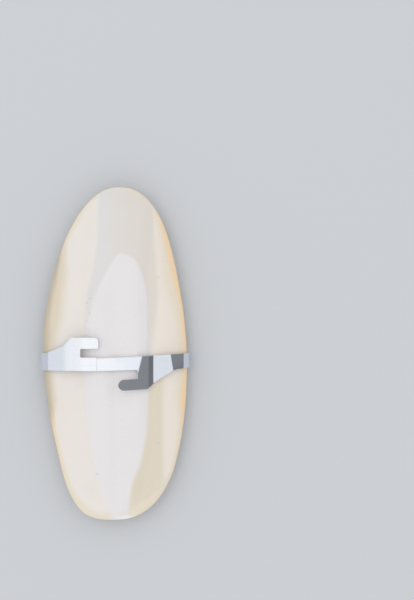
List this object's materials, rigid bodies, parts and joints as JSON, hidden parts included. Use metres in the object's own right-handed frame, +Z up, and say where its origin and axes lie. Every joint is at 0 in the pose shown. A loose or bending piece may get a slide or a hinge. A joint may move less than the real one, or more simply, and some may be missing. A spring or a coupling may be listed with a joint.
{
  "type": "cuttlebone with cage clip",
  "caption": "Dried cuttlebone lying chalky side up, with a bent sheet-metal clip round its waist whose hooked ends slip over cage wires.",
  "frame": {"origin": "on the surface that the bone lies on, under the middle of the whole object", "axes": "+Y along the bone towards its front end, +Z up out of its chalky side, +X to the right seen from above with the front end away"},
  "size_m": [0.0513, 0.115, 0.0171],
  "materials": {
    "bone": "matte",
    "clip": "gloss"
  },
  "bodies": {
    "root": {"cuttlebone": "bone", "cage_clip": "clip"}
  },
  "joints": []
}
